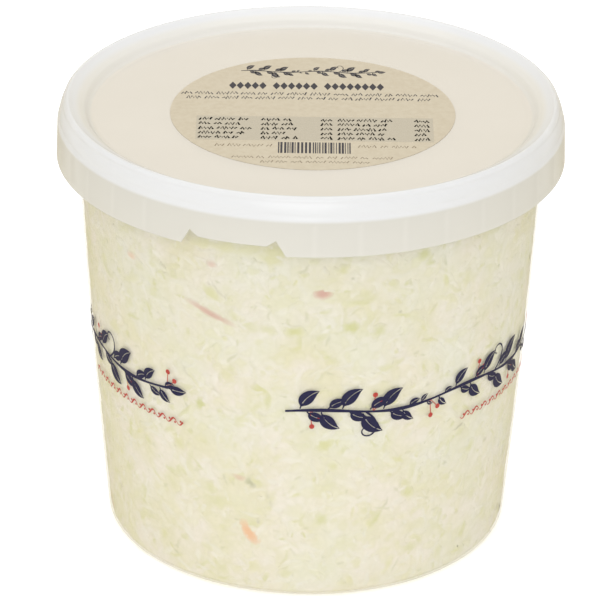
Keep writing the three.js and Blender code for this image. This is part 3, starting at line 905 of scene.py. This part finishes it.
def vine_strips():
    """A thin twining vine with a small bud at each bend, below the second half of the garland."""
    u = np.linspace(*VINE_SPAN, 260)
    line = np.stack([u, VINE_SWING * np.sin(u * VINE_PACE) - VINE_DROP], -1)
    strips = [strip(line, 0.24 + 0.12 * np.sin(u * VINE_PACE + 1), 1)]
    for at in np.arange(u[0] + 1.3, u[-1], math.pi / VINE_PACE):
        wave = math.sin(at * VINE_PACE)
        side = 1 if wave > 0 else -1
        strips.append(disc((at + 0.4, VINE_SWING * wave - VINE_DROP - side * 1.5), 0.42))
    return strips


def make_wall_print():
    """Three garlands round the tub, each in two inks."""
    navy = printing_ink("navy flexographic ink on polypropylene", "12123E", "1E1E4A")
    red = printing_ink("red flexographic ink on polypropylene", "B03A30", "BE5448")
    for number, turn in enumerate(SPRIG_TURNS, 1):
        film_piece(f"garland_{number}", *joined(sprig_strips()),
                   on_wall(turn, SPRIG_HEIGHT, layer=2), navy, "tub")
        film_piece(f"berries_{number}", *joined(berry_strips() + vine_strips()),
                   on_wall(turn, SPRIG_HEIGHT, layer=1), red, "tub")


# ---- label ----

LABEL_INK_LIFT = 0.02
HEADING_SIZE = (49, 72)  # a garland this long, and taller for its length than on the wall
HEADING_AT = (-26, 37)
LOZENGE_ROW = (5, 6, 8)  # how many in each group
TABLE_BOX = (-41, -25.6, 42.5, -4.4)
TABLE_COLUMNS = ((-40, -20), (-18, -3), (3, 7), (9, 30), (36, 41))
TABLE_ROWS = 5
TABLE_TOP = -8.4
TABLE_ROW_HEIGHT = 4.0
BARS = (-12.0, 13.5, -36.5, -27)  # from and to along u, then along v
DARK_LINES = ((-47, 45, 15.2), (-45, 43, 11.2))  # from and to along u, and v
FAINT_LINES = ((-34, -14, -31, 2.4), (16, 36, -31, 2.4), (-28, 30, -41, 2.2),
               (-18, 20, -44.8, 2.0))  # the same, and their height


def on_label(u, v):
    """Lays (u, v), measured from the label's centre, on its face."""
    return np.stack([LABEL_CENTRE[0] + u, LABEL_CENTRE[1] + v, LABEL_TOP + LABEL_INK_LIFT + 0 * u], -1)


def bar(u0, v0, u1, v1):
    """A plain upright rectangle of ink."""
    middle = (v0 + v1) / 2
    return strip([(u0, middle), ((u0 + u1) / 2, middle), (u1, middle)], [(v1 - v0) / 2] * 3, 1)


def lozenge(u, v, width, height):
    """A diamond of ink, with its centre at (u, v)."""
    return strip([(u - width / 2, v), (u, v), (u + width / 2, v)], [0.25, height / 2, 0.25], 1)


def scribble(rng, u0, u1, v, height, ink):
    """A row of small uneven zigzags, spaced like words, that stands for a line of small type. ink
    is the width of its stroke."""
    strips = []
    at = u0
    while at < u1 - 1:
        end = min(at + rng.uniform(2.5, 7.5), u1)
        u = np.arange(at, end + 0.2, 0.62)
        if len(u) > 2:
            up = np.arange(len(u)) % 2
            rise = height * np.where(up, rng.uniform(0.55, 1.0, len(u)), rng.uniform(-0.1, 0.25, len(u)))
            strips.append(strip(np.stack([u, v + rise], -1), np.full(len(u), ink / 2), 1))
        at = end + 1.3
    return strips


def make_paper():
    """The label itself: a thin disc with a softened edge, stuck off the panel's centre."""
    edge = 0.12
    profile = [(0, LID_PANEL_HEIGHT), (LABEL_RADIUS - edge, LID_PANEL_HEIGHT),
               (LABEL_RADIUS, LID_PANEL_HEIGHT + edge * 0.5), (LABEL_RADIUS - edge * 0.4, LABEL_TOP),
               (LABEL_RADIUS - 3, LABEL_TOP), (LABEL_RADIUS / 2, LABEL_TOP), (0, LABEL_TOP)]
    verts, faces = turned(profile, even_turns(LABEL_ROUND))
    verts = np.array(verts) + [LABEL_CENTRE[0], LABEL_CENTRE[1], 0]
    paper = uncoated_paper("uncoated tan label paper", "CFC4AD", "C9BDA5")
    add_piece("label_paper", verts, faces, paper, "label")


def make_label_print():
    """A heading, small type, a table and a bar code, all of them only suggested."""
    rng = np.random.default_rng(SEED + 10)
    black = printing_ink("black label ink", "34323A", "4A484C")
    brown = printing_ink("brown label ink", "7C6C58", "93836C")
    tint = printing_ink("pale grey label tint", "BFB6A2", "C4BBA8")
    points, title_faces = joined(sprig_strips())
    points = points * (np.array(HEADING_SIZE) / SPRIG_LENGTH) + HEADING_AT
    film_piece("label_heading", points, title_faces, on_label, black, "label")
    dark, faint = [], []
    at = -30.0
    for group in LOZENGE_ROW:
        for _ in range(group):
            dark.append(lozenge(at + 1.2, 23.6, 2.5, 6.6))
            at += 2.7
        at += 2.2
    for u0, u1, v in DARK_LINES:
        dark += scribble(rng, u0, u1, v, height=2.7, ink=0.55)
    for row in range(TABLE_ROWS):
        for u0, u1 in TABLE_COLUMNS:
            short = rng.uniform(0, 6) if u1 - u0 > 8 else 0
            dark += scribble(rng, u0, u1 - short, TABLE_TOP - TABLE_ROW_HEIGHT * row, height=2.8, ink=0.8)
    at, end, bottom, top = BARS
    while at < end:
        thick = rng.choice([0.3, 0.45, 0.75])
        dark.append(bar(at, bottom, at + thick, top))
        at += thick + rng.choice([0.35, 0.6])
    for u0, u1, v, height in FAINT_LINES:
        faint += scribble(rng, u0, u1, v, height, ink=0.4)
    field = [bar(*TABLE_BOX)]
    for name, strips, ink in (("label_tint", field, tint), ("label_brown_print", faint, brown),
                              ("label_black_print", dark, black)):
        film_piece(name, *joined(strips), on_label, ink, "label")


# ---- room, light and camera ----

TABLE_REACH = 12.0  # metres to each side
TOWARDS_LIGHT = (0, -0.5, 0.87)  # the studio is whitest this way, up and to the front

AIM = Vector((-3.14, 0, 82.9))  # what the camera looks at, and from how far
CAMERA_DISTANCE = 1630.0
CAMERA_PITCH = math.radians(25.49)
CAMERA_ROLL = math.radians(0.76)
CAMERA_LENS = 270


def make_table():
    """The floor that the tub stands on."""
    size = TABLE_REACH
    mesh = bpy.data.meshes.new("table")
    corners = [(-size, -size, 0), (size, -size, 0), (size, size, 0), (-size, size, 0)]
    mesh.from_pydata(corners, [], [(0, 1, 2, 3)])
    # the second colour is the painted falloff of light at its far edges
    mesh.materials.append(lit_acrylic("matt opal acrylic, lit from below", "FBFBFB", "A8A498"))
    table = bpy.data.objects.new("table", mesh)
    bpy.context.scene.collection.objects.link(table)
    table.visible_glossy = False  # keeps its white out of the shine at the tub's edges


def add_light(name, place, aim, size, power):
    """A round white softbox, in metres and watts."""
    light = bpy.data.lights.new(name, "AREA")
    light.shape = "DISK"
    light.size = size
    light.energy = power
    lamp = bpy.data.objects.new(name, light)
    bpy.context.scene.collection.objects.link(lamp)
    lamp.location = place
    lamp.rotation_euler = (Vector(aim) - Vector(place)).to_track_quat("-Z", "Y").to_euler()


def make_light():
    """A studio that is white in front and overhead, and dimmer and warmer at the sides and back,
    with a softbox beside the camera and another overhead."""
    world = bpy.data.worlds.new("white studio")
    world.use_nodes = True
    tree = world.node_tree
    tree.nodes.clear()
    place = node(tree, "ShaderNodeTexCoord", {}).outputs["Generated"]
    towards = node(tree, "ShaderNodeVectorMath", {0: place, 1: TOWARDS_LIGHT},
                   operation="DOT_PRODUCT")
    share = node(tree, "ShaderNodeMapRange",
                 {"Value": towards.outputs["Value"], "From Min": -0.15, "From Max": 0.5},
                 interpolation_type="SMOOTHSTEP")
    colour = node(tree, "ShaderNodeMix",
                  {"Factor": share.outputs[0], 6: hex_colour("EADEBE"), 7: hex_colour("FAFBFE")},
                  data_type="RGBA")
    background = node(tree, "ShaderNodeBackground", {"Color": colour.outputs[2], "Strength": 0.88})
    node(tree, "ShaderNodeOutputWorld", {"Surface": background.outputs[0]})
    bpy.context.scene.world = world
    add_light("overhead softbox", place=(-0.1, 0.1, 1.5), aim=(0, 0, 0.1), size=1.4, power=5.0)
    add_light("front softbox", place=(-0.1, -1.5, 0.85), aim=(0, 0, 0.12), size=1.0, power=5.2)


def make_camera():
    """Looks down at the tub from the front, with a long lens and a slight roll."""
    ahead = Vector((0, math.cos(CAMERA_PITCH), -math.sin(CAMERA_PITCH)))
    right = Vector((1, 0, 0))
    up = right.cross(ahead)
    turned_right = right * math.cos(CAMERA_ROLL) + up * math.sin(CAMERA_ROLL)
    turned_up = up * math.cos(CAMERA_ROLL) - right * math.sin(CAMERA_ROLL)
    camera = bpy.data.objects.new("camera", bpy.data.cameras.new("camera"))
    bpy.context.scene.collection.objects.link(camera)
    camera.data.lens = CAMERA_LENS
    turn = Matrix((turned_right, turned_up, -ahead)).transposed().to_4x4()
    camera.matrix_world = Matrix.Translation((AIM - ahead * CAMERA_DISTANCE) * MM) @ turn
    bpy.context.scene.camera = camera


make_tub()
make_coleslaw()
make_lid()
make_wall_print()
make_paper()
make_label_print()
make_table()
make_light()
make_camera()
bpy.context.scene.view_settings.view_transform = "Standard"

bpy.context.view_layer.update()
